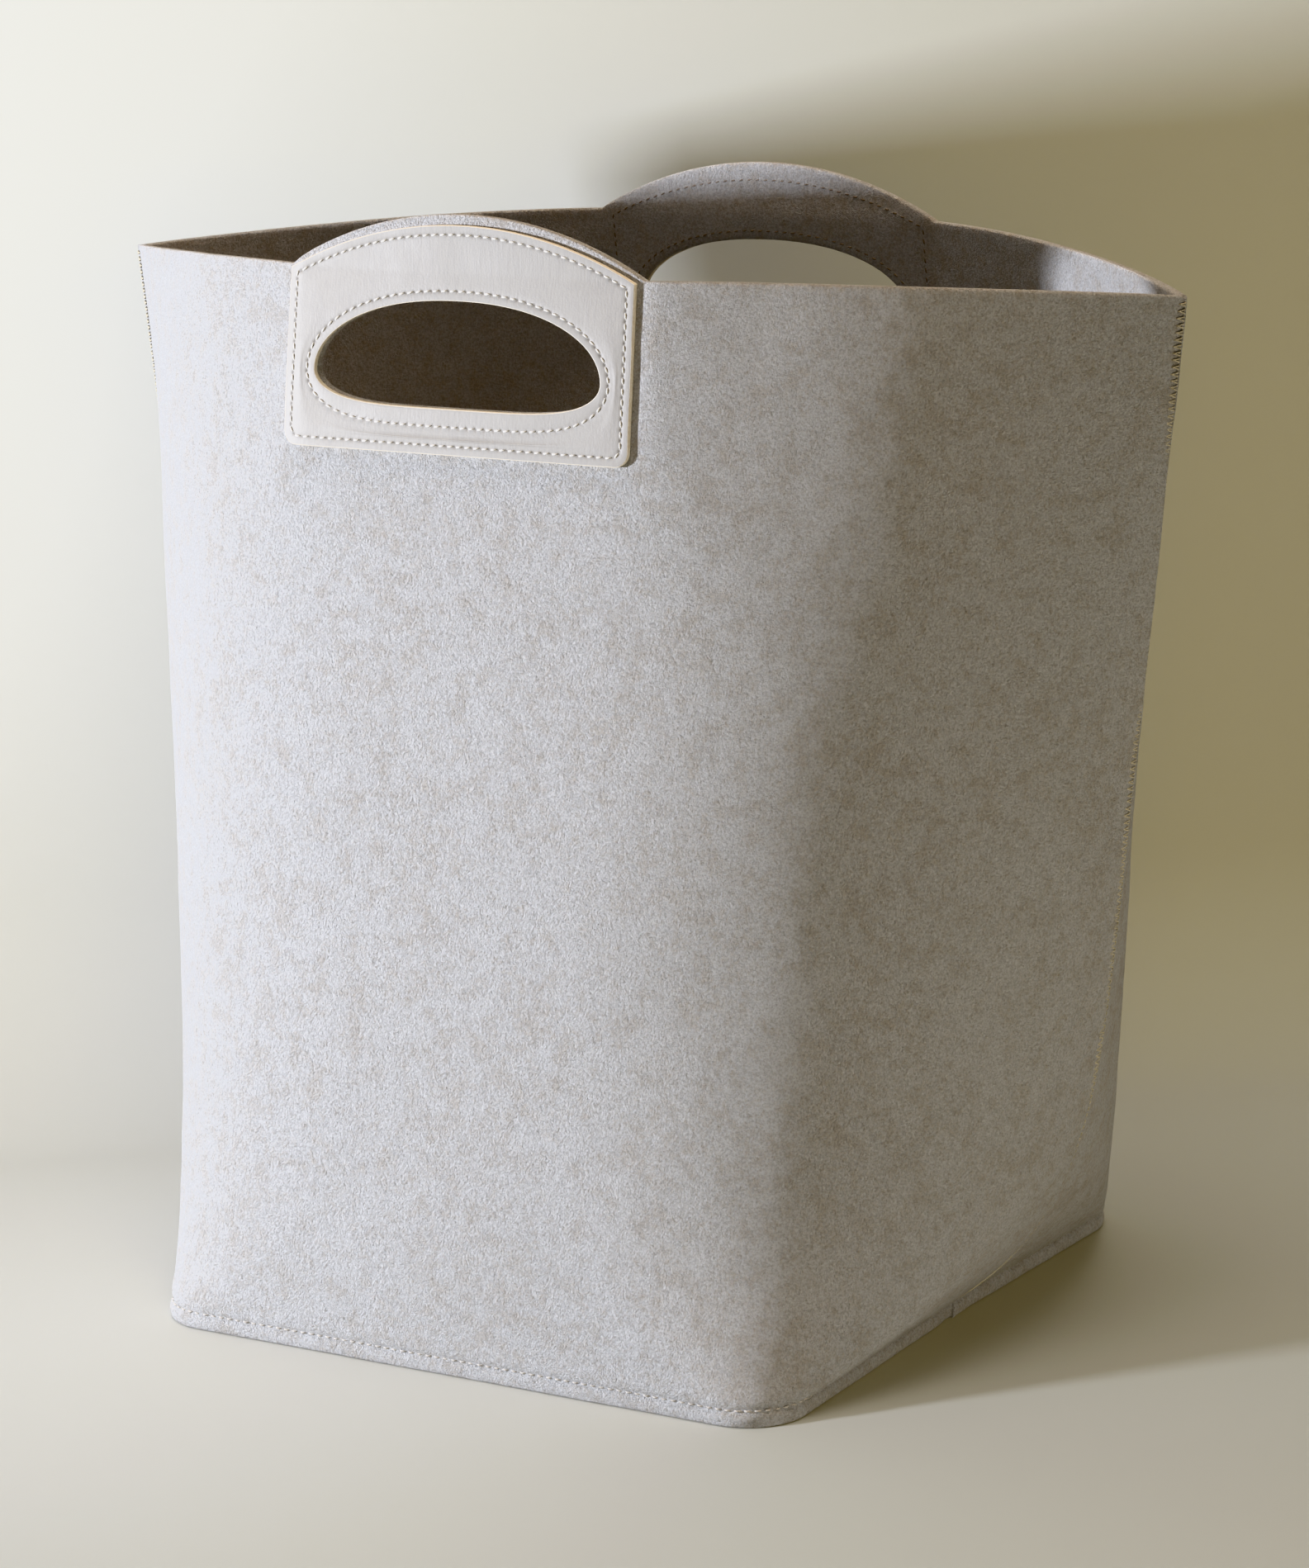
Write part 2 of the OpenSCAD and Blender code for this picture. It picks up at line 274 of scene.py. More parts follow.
def hem_offset(s, v, side):
    """The sewn hem: a proud rounded band under a groove, pulled in more at each stitch."""
    mm = v * 1000
    band = 0.9 * np.sin(np.pi * limit(mm / 7)) ** 0.8
    groove = np.exp(-(((mm - 7) / 1.1) ** 2))
    stitch = 0.70 + 0.30 * np.cos(2 * np.pi * s / STITCH)
    shoulder = 0.5 * np.exp(-(((mm - 11) / 2.6) ** 2))
    # At the seam the front band is tucked in behind the back one
    end = smooth((np.abs(s) - BASE_LEN + 0.016) / 0.012) * np.exp(-((mm / 9) ** 2))
    tuck = (-1.0 if side == FRONT else 0.7) * end
    return (band - 1.1 * groove * stitch + shoulder + tuck) / 1000


def waves(s, v, side):
    """Gentle unevenness of the hand-sewn sheet, held flat where the leather is sewn on."""
    seed = 10 * (side + 2)
    free = 1 - np.exp(-((s / 0.09) ** 4)) * smooth((v - 0.33) / 0.04)
    low = smooth(v / 0.05)
    tall = noise(s, v / 4, 0.075, seed) * 1.1
    broad = noise(s, v, 0.060, seed + 1) * 0.7
    small = noise(s, v, 0.021, seed + 2) * 0.16
    return ((tall + broad) * free * low + small * (0.4 + 0.6 * free)) / 1000


def wall_rows(u):
    """Heights of the grid rows at distances u from the hole's middle, below and above the hole."""
    top = RIM_H + arch(u, ARCH_W, ARCH_H)
    hem = np.array(HEM_ROWS) / 1000
    count = round((HOLE_V - hem[-1]) / (GRID * ROW_STRETCH))
    t = np.linspace(0, 1, count + 1)[1:]
    low = np.concatenate([np.broadcast_to(hem, (len(u), len(hem))),
                          mix(hem[-1], hole_low(u)[:, None], t[None, :])], axis=1)
    high = mix(hole_high(u)[:, None], top[:, None], np.linspace(0, 1, HIGH_ROWS)[None, :])
    return low, high


def wall_grid(shift):
    """Flat (s, v) grid of a wall, with its quads and the loops round its outline and its hole."""
    cols, first = wall_columns(shift)
    last = first + 2 * HOLE_STEPS
    in_hole = (np.arange(len(cols)) > first) & (np.arange(len(cols)) < last)
    low, high = wall_rows(cols - shift)
    v = np.concatenate([low, high], axis=1)
    s = np.broadcast_to(cols[:, None], v.shape)
    nl = low.shape[1]

    # Vertex numbers, where the two rows at the hole's level are one outside the hole
    ids = np.arange(v.size).reshape(v.shape)
    ids[~in_hole, nl] = ids[~in_hole, nl - 1]
    outline = np.concatenate([ids[:, 0], ids[-1, 1:nl], ids[-1, nl + 1:], ids[-2::-1, -1],
                              ids[0, -2:nl:-1], ids[0, nl - 1:0:-1]])
    hole = np.concatenate([ids[first:last + 1, nl], ids[last - 1:first:-1, nl - 1]])
    quads = np.stack([ids[:-1, :-1], ids[1:, :-1], ids[1:, 1:], ids[:-1, 1:]], axis=-1)
    quads = np.delete(quads, nl - 1, axis=1).reshape(-1, 4)
    return np.stack([s.ravel(), v.ravel()], axis=1), quads, (outline, hole)


def felt_sheet(flat, quads, loops):
    """Both skins of the felt and the rounded edges between them: places, depths and faces."""
    nv = len(flat)
    skin = flat.copy()
    places, depths = [skin, skin], [np.zeros(nv), np.full(nv, FELT_T)]
    faces, total = [quads, quads[:, ::-1] + nv], 2 * nv
    for loop in loops:
        edge = flat[loop]
        away = mitred(edge)
        radius = edge_radius(edge)
        skin[loop] = edge - radius[:, None] * away
        rings = [loop]
        for inset, depth in edge_profile(radius, FELT_T, EDGE_STEPS):
            places.append(edge - inset[:, None] * away)
            depths.append(depth)
            rings.append(np.arange(total, total + len(loop)))
            total += len(loop)
        rings.append(loop + nv)
        for a, b in zip(rings[:-1], rings[1:]):
            faces.append(np.stack([a, b, np.roll(b, -1), np.roll(a, -1)], axis=1))
    return np.concatenate(places), np.concatenate(depths), np.concatenate(faces)


def felt_wall(name, shift, side, material):
    """One felt wall with its handle, hand hole, hem and rounded edges."""
    places, depths, faces = felt_sheet(*wall_grid(shift))
    s, v = places.T
    bend = waves(s, v, side)
    grain = noise(s, v, GRAIN_CELL, 77 + side) * GRAIN_H
    outside = hem_offset(s, v, side) + bend + grain
    inside = bend - grain - FELT_T
    points = wall_point(s, v, mix(outside, inside, depths / FELT_T), side)
    faces = flipped(faces, side == BACK)
    used, compact = np.unique(faces, return_inverse=True)
    return add_mesh(name, points[used], [compact.reshape(faces.shape)], [material])


# ---------------------------------------------------------------- base panel


def base_panel(name, material):
    """Felt base with an upturned edge: rings from the middle of the underside to the middle above."""
    share = np.linspace(0, 1, 150)
    p = along(np.zeros_like(share), share)
    x, y, angle = p[:, 0], p[:, 1] - p[-1, 1], p[:, 2]
    quarter = np.stack([x, y], 1)
    normal = np.stack([np.sin(angle), -np.cos(angle)], 1)

    def around(a):
        half = np.concatenate([a[::-1] * [-1, 1], a[1:]])
        return np.concatenate([half, half[-2:0:-1] * [1, -1]])

    edge, normal = around(quarter), around(normal)
    wall = FELT_T + GAP
    r = 0.0009
    profile = [(wall + 0.012, 0), (wall + 0.006, 0), (wall + 0.0025, 0), (wall + r, 0.0001),
               (wall + 0.3 * r, 0.0004), (wall, r), (wall, 0.004), (wall, HEM_H - r),
               (wall + 0.3 * r, HEM_H - 0.3 * r), (wall + r, HEM_H),
               (wall + FELT_T - r, HEM_H), (wall + FELT_T - 0.3 * r, HEM_H - 0.3 * r),
               (wall + FELT_T, HEM_H - r), (wall + FELT_T + 0.0002, FELT_T + 0.0012),
               (wall + FELT_T + 0.0009, FELT_T + 0.0003), (wall + FELT_T + 0.002, FELT_T),
               (wall + FELT_T + 0.006, FELT_T), (wall + FELT_T + 0.012, FELT_T)]
    scales = np.linspace(0, 1, 34)[1:-1]
    rings = [np.c_[(edge - normal * 0.016) * t, np.zeros(len(edge))] for t in scales]
    rings += [np.c_[edge - normal * d, np.full(len(edge), z)] for d, z in profile]
    rings += [np.c_[(edge - normal * 0.020) * t, np.full(len(edge), FELT_T)] for t in scales[::-1]]
    points = np.concatenate(rings + [[[0, 0, 0]], [[0, 0, FELT_T]]])
    upper = np.arange(len(points)) >= len(edge) * (len(scales) + len(profile) - 3)
    lift = noise(points[:, 0], points[:, 1], 0.05, 5) * 0.0005
    points[:, 2] += np.where(upper, lift + 0.0005, 0)
    n = len(edge)
    k = np.arange(n)
    faces = [np.stack([k + i * n, (k + 1) % n + i * n, (k + 1) % n + (i + 1) * n, k + (i + 1) * n], 1)
             for i in range(len(rings) - 1)]
    below, above = len(rings) * n, len(rings) * n + 1
    fans = [np.stack([np.full(n, below), (k + 1) % n, k], 1),
            np.stack([np.full(n, above), k + (len(rings) - 1) * n, (k + 1) % n + (len(rings) - 1) * n], 1)]
    return add_mesh(name, points, [np.concatenate(faces)] + fans, [material])


# ---------------------------------------------------------------- leather facings

FACING_STEP = 0.00055
FACING_MIDDLE = HOLE_V + 0.008
# (share of the way from the cut edge to the stitches and on, height off the flat leather in mm)
EDGE_RINGS = [(0, 0), (0.14, 0.02), (0.4, 0.03), (0.62, 0.0), (0.78, -0.07), (0.88, -0.15),
              (0.96, -0.21), (1.04, -0.21), (1.12, -0.15), (1.22, -0.07), (1.4, 0.0), (1.65, 0.03)]
MIDDLE_RINGS = 11
PUFF_FOOT, PUFF = 0.03, 0.12
BEVEL = 0.0003
UNDER_SHARES = (0, 0.3, 0.6, 1)
DENT_R, DENT_DEPTH = 0.00046, 0.0004
GROOVE_DEPTH = 0.0003
CHUNK = 20000


def facing_outline():
    """The facing's outline as (u, v) points, anticlockwise from its upper right corner."""
    def count(length):
        return max(2, round(length / FACING_STEP))

    w, low, r = FACING_W, FACING_LOW, FACING_R
    top = np.linspace(w, -w, count(2.1 * w))[:-1]
    down = np.linspace(FACING_CORNER, low + r, count(FACING_CORNER - low - r))[:-1]
    turn_a = np.linspace(math.pi, 1.5 * math.pi, count(1.6 * r))[:-1]
    bottom = np.linspace(-w + r, w - r, count(2 * (w - r)))[:-1]
    return np.concatenate([
        np.stack([top, FACING_CORNER + arch(top, w, FACING_ARCH)], 1),
        np.stack([np.full_like(down, -w), down], 1),
        np.stack([-w + r + r * np.cos(turn_a), low + r + r * np.sin(turn_a)], 1),
        np.stack([bottom, np.full_like(bottom, low)], 1),
        np.stack([w - r - r * np.cos(turn_a[::-1]), low + r + r * np.sin(turn_a[::-1])], 1),
        np.stack([np.full_like(down, w), down[::-1]], 1)[:-1]])


def edge_stitch_line():
    """The line of the outer row of stitches, anticlockwise from its upper right corner."""
    w, low = FACING_W - EDGE_INSET, FACING_LOW + EDGE_INSET
    r = FACING_R - EDGE_INSET / 2
    u = np.linspace(w, -w, 200)
    top = FACING_CORNER + arch(u, FACING_W, FACING_ARCH) - EDGE_INSET * 1.02
    a = np.linspace(math.pi, 1.5 * math.pi, 24)
    return np.concatenate([np.stack([u, top], 1),
                           np.stack([-w + r + r * np.cos(a), low + r + r * np.sin(a)], 1),
                           np.stack([w - r - r * np.cos(a[::-1]), low + r + r * np.sin(a[::-1])], 1)])


def hole_line(inset, inset_low, count=720):
    """The hand hole's outline, or a line that far outside it, anticlockwise from its right end."""
    a = np.arange(count) / count * 2 * math.pi
    up = np.sin(a) >= 0
    power = np.where(up, HOLE_POWER_UP, HOLE_POWER_DOWN)
    rise = np.where(up, HOLE_UP + inset, HOLE_DOWN + inset_low)
    u = (HOLE_W + inset) * np.sign(np.cos(a)) * np.abs(np.cos(a)) ** (2 / power)
    return np.stack([u, HOLE_V + rise * np.sin(a)], 1)


def radius_at(line, angles):
    """Distance from the facing's middle to a closed line, in the given directions."""
    d = line - [0, FACING_MIDDLE]
    a = np.arctan2(d[:, 1], d[:, 0])
    order = np.argsort(a)
    dense = d[order]
    a = a[order]
    # The line's own straight pieces are cut by each ray
    k = np.searchsorted(a, angles) % len(a)
    p, q = dense[k - 1], dense[k]
    e = q - p
    ray = np.stack([np.cos(angles), np.sin(angles)], 1)
    cross = ray[:, 0] * e[:, 1] - ray[:, 1] * e[:, 0]
    return (p[:, 0] * e[:, 1] - p[:, 1] * e[:, 0]) / cross


def evenly(line, pitch):
    """Evenly pitched places along a closed line, with the line's direction at each."""
    closed = np.concatenate([line, line[:1]])
    dist = np.concatenate([[0], np.cumsum(np.linalg.norm(np.diff(closed, axis=0), axis=1))])
    count = round(dist[-1] / pitch)

    def at(t):
        t = t % dist[-1]
        return np.stack([np.interp(t, dist, closed[:, k]) for k in (0, 1)], 1)

    t = (np.arange(count) + 0.5) * dist[-1] / count
    return at(t), at(t + 0.0004) - at(t - 0.0004), at, t, dist[-1] / count


def needle_holes():
    """Every place where a stitch of either row goes through the leather."""
    places = []
    for line in (edge_stitch_line(), hole_line(HOLE_INSET, HOLE_INSET_LOW)):
        _, _, at, t, pitch = evenly(line, STITCH)
        places.append(at(t - pitch / 2))
    return np.concatenate(places)


def facing_rings(angles, edge):
    """(distance from the facing's middle, height in mm) of the top's rings, from the hole outwards."""
    edge_row = radius_at(edge_stitch_line(), angles)
    hole = radius_at(hole_line(0, 0), angles)
    hole_row = radius_at(hole_line(HOLE_INSET, HOLE_INSET_LOW), angles)
    inner = [(mix(hole, hole_row, f), h) for f, h in EDGE_RINGS]
    outer = [(mix(edge, edge_row, f), h) for f, h in EDGE_RINGS[::-1]]
    share = np.linspace(0, 1, MIDDLE_RINGS + 2)[1:-1]
    middle = [(mix(inner[-1][0], outer[0][0], f), PUFF_FOOT + PUFF * math.sin(math.pi * f))
              for f in share]
    return inner + middle + outer


def cut_rings(points, away):
    """Places and heights of the rings down a cut edge, from the top to the underside."""
    steps = edge_profile(BEVEL, LEATHER_T, 2)
    return [points - inset * away for inset, _ in steps], [LEATHER_T - depth for _, depth in steps]


def nearest(flat, targets):
    """Distance from each place to its nearest target, a chunk of places at a time."""
    near = np.empty(len(flat))
    for start in range(0, len(flat), CHUNK):
        away = flat[start:start + CHUNK, None, :] - targets[None, :, :]
        near[start:start + CHUNK] = np.sqrt((away**2).sum(-1)).min(1)
    return near


def ring_faces(rows, n):
    """Quads between neighbouring rings of n points, and from the last ring to the first."""
    j, k = np.arange(rows)[:, None], np.arange(n)
    here, there = j * n, (j + 1) % rows * n
    corners = here + k, there + k, there + (k + 1) % n, here + (k + 1) % n
    return np.stack([c.ravel() for c in corners], 1)


def leather_facing(name, shift, side, leather, cut_edge):
    """The leather on a handle: rings over its top, its cut edges and its underside."""
    outline = facing_outline()
    d = outline - [0, FACING_MIDDLE]
    angles = np.arctan2(d[:, 1], d[:, 0])
    n = len(angles)
    rings = facing_rings(angles, np.linalg.norm(d, axis=1))
    ray = np.stack([np.cos(angles), np.sin(angles)], 1)
    places = [ray * r[:, None] + [0, FACING_MIDDLE] for r, _ in rings]
    heights = [LEATHER_T + h / 1000 for _, h in rings]
    top_rows, top_size = len(rings), n * len(rings)

    # Down the outer cut edge, back under the leather, and up the hole's cut edge
    edge_away, hole_away = mitred(outline), -mitred(places[0])
    down, down_heights = cut_rings(outline, edge_away)
    up, up_heights = cut_rings(places[0], hole_away)
    places[0] = places[0] - BEVEL * hole_away
    places[-1] = outline - BEVEL * edge_away
    under = [mix(places[-1], places[0], f) for f in UNDER_SHARES]
    places += down + under + up[::-1]
    heights += down_heights + [0.0] * len(under) + up_heights[::-1]

    flat, height = np.concatenate(places), np.repeat(heights, n)
    on_top = np.arange(len(flat)) < top_size
    dent = np.zeros(len(flat))
    dent[:top_size] = np.exp(-((nearest(flat[:top_size], needle_holes()) / DENT_R) ** 2))
    groove = np.where(on_top, limit((LEATHER_T - height) / GROOVE_DEPTH), 0)
    grain = noise(flat[:, 0], flat[:, 1], 0.009, 31) * 0.00005
    height = height - DENT_DEPTH * dent + np.where(on_top, grain * (1 - groove), 0)
    s = flat[:, 0] + shift
    sheet = waves(s, flat[:, 1], side) + GAP
    points = wall_point(s, flat[:, 1], GAP + height + sheet, side)
    on_cut = np.repeat(np.arange(len(places)) >= top_rows - 1, n)
    # The attribute carries painted shade: the leather's colour is darkened at the needle holes and along
    # the stitch groove.
    return add_mesh(name, points, [flipped(ring_faces(len(places), n), side == BACK)],
                    [leather, cut_edge], on_cut.astype(int),
                    attributes={"painted_stitch_shade": limit(dent + 0.25 * groove)})


# ---------------------------------------------------------------- threads

SIDES = 8
STITCH_R, BOBBIN_R, SEAM_R, SEAM_INSIDE_R, HEM_R = 0.00037, 0.00036, 0.00030, 0.00032, 0.00040
STITCH_SLANT = 9


def tubes(name, paths, ups, radius, material, taper=0.5, ply=0.16, turns=2.0):
    """Closed two-ply threads along paths[n, k], with reference directions ups[n, k]."""
    n, rings, _ = paths.shape
    t = np.linspace(0, 1, rings)
    tangent = np.gradient(paths, axis=1)
    tangent /= np.linalg.norm(tangent, axis=2, keepdims=True)
    across = np.cross(tangent, ups)
    across /= np.linalg.norm(across, axis=2, keepdims=True)
    up = np.cross(across, tangent)
    angle = np.arange(SIDES) / SIDES * 2 * math.pi
    size = radius * (taper + (1 - taper) * np.sqrt(np.sin(math.pi * t)))
    strand = 1 + ply * np.cos(2 * (angle[None, :] - 2 * math.pi * turns * t[:, None] / 2))
    ring = size[:, None] * strand
    points = (paths[:, :, None, :]
              + across[:, :, None, :] * (ring * np.cos(angle))[None, :, :, None]
              + up[:, :, None, :] * (ring * np.sin(angle))[None, :, :, None])
    per = rings * SIDES
    k, m = np.meshgrid(np.arange(rings - 1), np.arange(SIDES), indexing="ij")
    quads = np.stack([k * SIDES + m, k * SIDES + (m + 1) % SIDES,
                      (k + 1) * SIDES + (m + 1) % SIDES, (k + 1) * SIDES + m], -1).reshape(-1, 4)
    start = np.arange(n)[:, None, None] * per
    quads = (quads[None] + start).reshape(-1, 4)
    caps = np.stack([np.arange(SIDES)[::-1], per - SIDES + np.arange(SIDES)])
    caps = (caps[None] + start).reshape(-1, SIDES)
    return add_mesh(name, points.reshape(-1, 3), [quads[:, ::-1], caps[:, ::-1]], [material])


def stitch_paths(starts, ends, place, lift, dive, rings=7):
    """Centrelines of stitches that leave the surface at one end and dive back at the other."""
    t = np.linspace(0, 1, rings)
    flat = mix(starts[:, None, :], ends[:, None, :], t[None, :, None])
    rise = -dive + (lift + dive) * (1 - np.abs(2 * t - 1) ** 3)
    rise = np.broadcast_to(rise, flat.shape[:2])
    on = place(flat[..., 0], flat[..., 1], rise)
    ups = place(flat[..., 0], flat[..., 1], rise + 0.001) - on
    return on, ups


def rotated(d, degrees):
    a = math.radians(degrees)
    return np.stack([d[:, 0] * math.cos(a) - d[:, 1] * math.sin(a),
                     d[:, 0] * math.sin(a) + d[:, 1] * math.cos(a)], 1)


def facing_stitches(name, line, shift, side, material, bobbin):
    """One row of stitches: on the leather outside, and the bobbin's row on the felt inside."""
    _, _, at, t, pitch = evenly(line, STITCH)
    middle = at(t)
    along_row = at(t + pitch * 0.31) - at(t - pitch * 0.31)
    slant = rotated(along_row, STITCH_SLANT)
    outside = GAP + LEATHER_T

    def on_leather(s, v, out):
        return wall_point(s, v, outside + out + waves(s, v, side), side)

    def on_felt(s, v, out):
        return wall_point(s, v, -FELT_T - out + waves(s, v, side), side)

    middle = middle + [shift, 0]
    paths, ups = stitch_paths(middle - slant * 0.56, middle + slant * 0.56, on_leather, 0.00012, 0.0007)
    outer = tubes(name, paths, ups, STITCH_R, material)
    inside_middle = middle + along_row * 0.1
    paths, ups = stitch_paths(inside_middle - slant * 0.52, inside_middle + slant * 0.52, on_felt,
                              -0.00005, 0.0006)
    inner = tubes(name + "_bobbin", paths, ups, BOBBIN_R, bobbin)
    return joined(outer, inner)


def joined(obj, *others):
    """obj with the other meshes joined into it."""
    with bpy.context.temp_override(active_object=obj, selected_editable_objects=[obj, *others]):
        bpy.ops.object.join()
    return obj


ZIGZAG, ZIGZAG_W = 0.0028, 0.0026


def seam_zigzag(name, direction, material, inner_material):
    """The zigzag over the butt seam of the two walls, outside and inside."""
    first, last = HEM_H + 0.003, RIM_H - 0.002
    count = int((last - first) / (ZIGZAG / 2))
    rings = 10
    t = np.linspace(0, 1, rings)
    level = first + np.arange(count) * ZIGZAG / 2
    forward = np.where(np.arange(count) % 2 == 0, 1, -1)
    jitter = np.random.default_rng(9).normal(0, 0.00018, (count + 1, 2))

    def legs(out, reach):
        across = forward[:, None] * reach * (2 * t - 1)[None, :]
        across = across + mix(jitter[:-1, :1], jitter[1:, :1], t)
        v = level[:, None] + ZIGZAG / 2 * t + mix(jitter[:-1, 1:], jitter[1:, 1:], t)
        s = direction * (BASE_LEN - np.abs(across))
        dive = np.abs(2 * t - 1)[None, :] ** 6 * 0.0007
        off = (np.sign(out) * (abs(out) - dive)) + np.zeros_like(v)

        def place(o):
            front, back = wall_point(s, v, o, FRONT), wall_point(s, v, o, BACK)
            return np.where((across < 0)[..., None], front, back)

        return place(off), place(off + 0.001) - place(off)

    outer = tubes(name, *legs(0.00022, ZIGZAG_W), SEAM_R, material, taper=0.7)
    paths, ups = legs(-FELT_T - 0.0003, ZIGZAG_W * 0.9)
    inner = tubes(name + "_inside", paths, ups, SEAM_INSIDE_R, inner_material, taper=0.7)
    return joined(outer, inner)


def hem_stitches(name, side, material):
    """The topstitch that lies sunk in the groove over the hem."""
    count = round(2 * (BASE_LEN - 0.004) / STITCH)
    middle = np.stack([(np.arange(count) - (count - 1) / 2) * STITCH, np.full(count, HEM_H)], 1)
    middle[:, 0] += STITCH / 2
    half = np.array([STITCH * 0.36, 0.0])

    def place(s, v, out):
        return wall_point(s, v, out + hem_offset(s, v, side) + waves(s, v, side), side)

    paths, ups = stitch_paths(middle - half, middle + half, place, 0.0002, 0.0004)
    return tubes(name, paths, ups, HEM_R, material)


# ---------------------------------------------------------------- materials


class Shader:
    """A node material. add() makes a node and returns it; a value may be another node's socket."""

    def __init__(self, name):
        self.material = bpy.data.materials.new(name)
        self.material.use_nodes = True
        self.tree = self.material.node_tree
        self.tree.nodes.clear()

    def add(self, kind, inputs=None, **settings):
        node = self.tree.nodes.new(kind)
        for key, value in settings.items():
            setattr(node, key, value)
        for key, value in (inputs or {}).items():
            socket = node.inputs[key]
            if isinstance(value, bpy.types.NodeSocket):
                self.tree.links.new(value, socket)
            else:
                socket.default_value = value
        return node

    def place(self):
        return self.add("ShaderNodeTexCoord").outputs["Object"]

    def noise(self, place, scale, detail=3.0, roughness=0.55, distortion=0.0):
        inputs = {"Vector": place, "Scale": scale, "Detail": detail, "Roughness": roughness,
                  "Distortion": distortion}
        return self.add("ShaderNodeTexNoise", inputs).outputs["Fac"]

    def streaks(self, place, turn_by, scale, thin):
        """Noise drawn out along one direction, for fibres."""
        rotated_place = self.add("ShaderNodeMapping", {"Vector": place, "Rotation": turn_by})
        scaled = self.add("ShaderNodeMapping", {"Vector": rotated_place.outputs["Vector"],
                                                "Scale": (1.0, thin, thin)})
        return self.noise(scaled.outputs["Vector"], scale, 1.0, 0.4, 0.25)

    def math(self, operation, a, b=0.0, c=0.0):
        return self.add("ShaderNodeMath", {0: a, 1: b, 2: c}, operation=operation).outputs[0]

    def span(self, value, low, high, to_low=0.0, to_high=1.0):
        """value from low to high becomes to_low to to_high, with a smooth start and end."""
        node = self.add("ShaderNodeMapRange", {"Value": value, "From Min": low, "From Max": high,
                                               "To Min": to_low, "To Max": to_high},
                        interpolation_type="SMOOTHSTEP")
        return node.outputs["Result"]

    def blend(self, factor, a, b):
        node = self.add("ShaderNodeMix", {"Factor": factor}, data_type="RGBA")
        for socket, value in zip([s for s in node.inputs if s.type == "RGBA"], (a, b)):
            if isinstance(value, bpy.types.NodeSocket):
                self.tree.links.new(value, socket)
            else:
                socket.default_value = (*value, 1.0)
        return [s for s in node.outputs if s.type == "RGBA"][0]

    def bump(self, height, distance, normal=None, strength=1.0):
        inputs = {"Height": height, "Distance": distance, "Strength": strength}
        if normal is not None:
            inputs["Normal"] = normal
        return self.add("ShaderNodeBump", inputs).outputs["Normal"]

    def surface(self, **inputs):
        shader = self.add("ShaderNodeBsdfPrincipled", {k.replace("_", " "): v for k, v in inputs.items()})
        output = self.add("ShaderNodeOutputMaterial")
        self.tree.links.new(shader.outputs["BSDF"], output.inputs["Surface"])
        return self.material


def felt_material(name, light, beige, brown):
    """Heather felt: pale wool with beige clouds, brown fibres, a matted, fuzzy surface and painted shade
    in its fine crevices.
    """
    m = Shader(name)
    place = m.place()
    cloud = m.noise(place, 22.0, 2.0, 0.55)
    mottle = m.noise(place, 120.0, 6.0, 0.73, 0.2)
    speck = m.noise(place, 620.0, 4.0, 0.72)
    grain = m.noise(place, 1900.0, 3.0, 0.7)
    fibres = [m.streaks(place, (0.3, 0.9, 0.2), 150.0, 9.0),
              m.streaks(place, (1.2, -0.5, 0.7), 170.0, 9.0),
              m.streaks(place, (-0.6, 0.4, 1.5), 140.0, 9.0)]
    fibre = m.math("MAXIMUM", m.math("MAXIMUM", fibres[0], fibres[1]), fibres[2])
    patch = m.math("ADD", m.math("MULTIPLY", mottle, 0.82), m.math("MULTIPLY", cloud, 0.18))
    speckled = m.math("ADD", m.math("MULTIPLY", patch, 0.72), m.math("MULTIPLY", speck, 0.28))
    tint = m.span(speckled, 0.45, 0.62, 0.0, 0.66)
    colour = m.blend(tint, light, beige)
    colour = m.blend(m.span(speck, 0.54, 0.72, 0.0, 0.26), colour, brown)
    colour = m.blend(m.span(fibre, 0.64, 0.80, 0.0, 0.32), colour, brown)
    colour = m.blend(m.span(grain, 0.50, 0.68, 0.0, 0.45), colour, (0.93, 0.94, 0.97))
    # Painted shade: fine dark grey spots stand for the shadows in the felt's crevices.
    crevice_shade = m.noise(place, 1000.0, 4.0, 0.75)
    colour = m.blend(m.span(crevice_shade, 0.40, 0.66, 0.0, 0.50), colour, (0.40, 0.39, 0.38))
    height = m.math("ADD", m.math("MULTIPLY", grain, 0.50),
                    m.math("ADD", m.math("MULTIPLY", fibre, 0.30), m.math("MULTIPLY", speck, 0.75)))
    normal = m.bump(mottle, 0.0016, strength=0.7)
    normal = m.bump(height, 0.0040, normal, 1.0)
    return m.surface(Base_Color=colour, Roughness=0.95, Normal=normal, Specular_IOR_Level=0.12,
                     Sheen_Weight=0.15, Sheen_Roughness=0.6, Sheen_Tint=(1.0, 0.98, 0.95, 1.0))


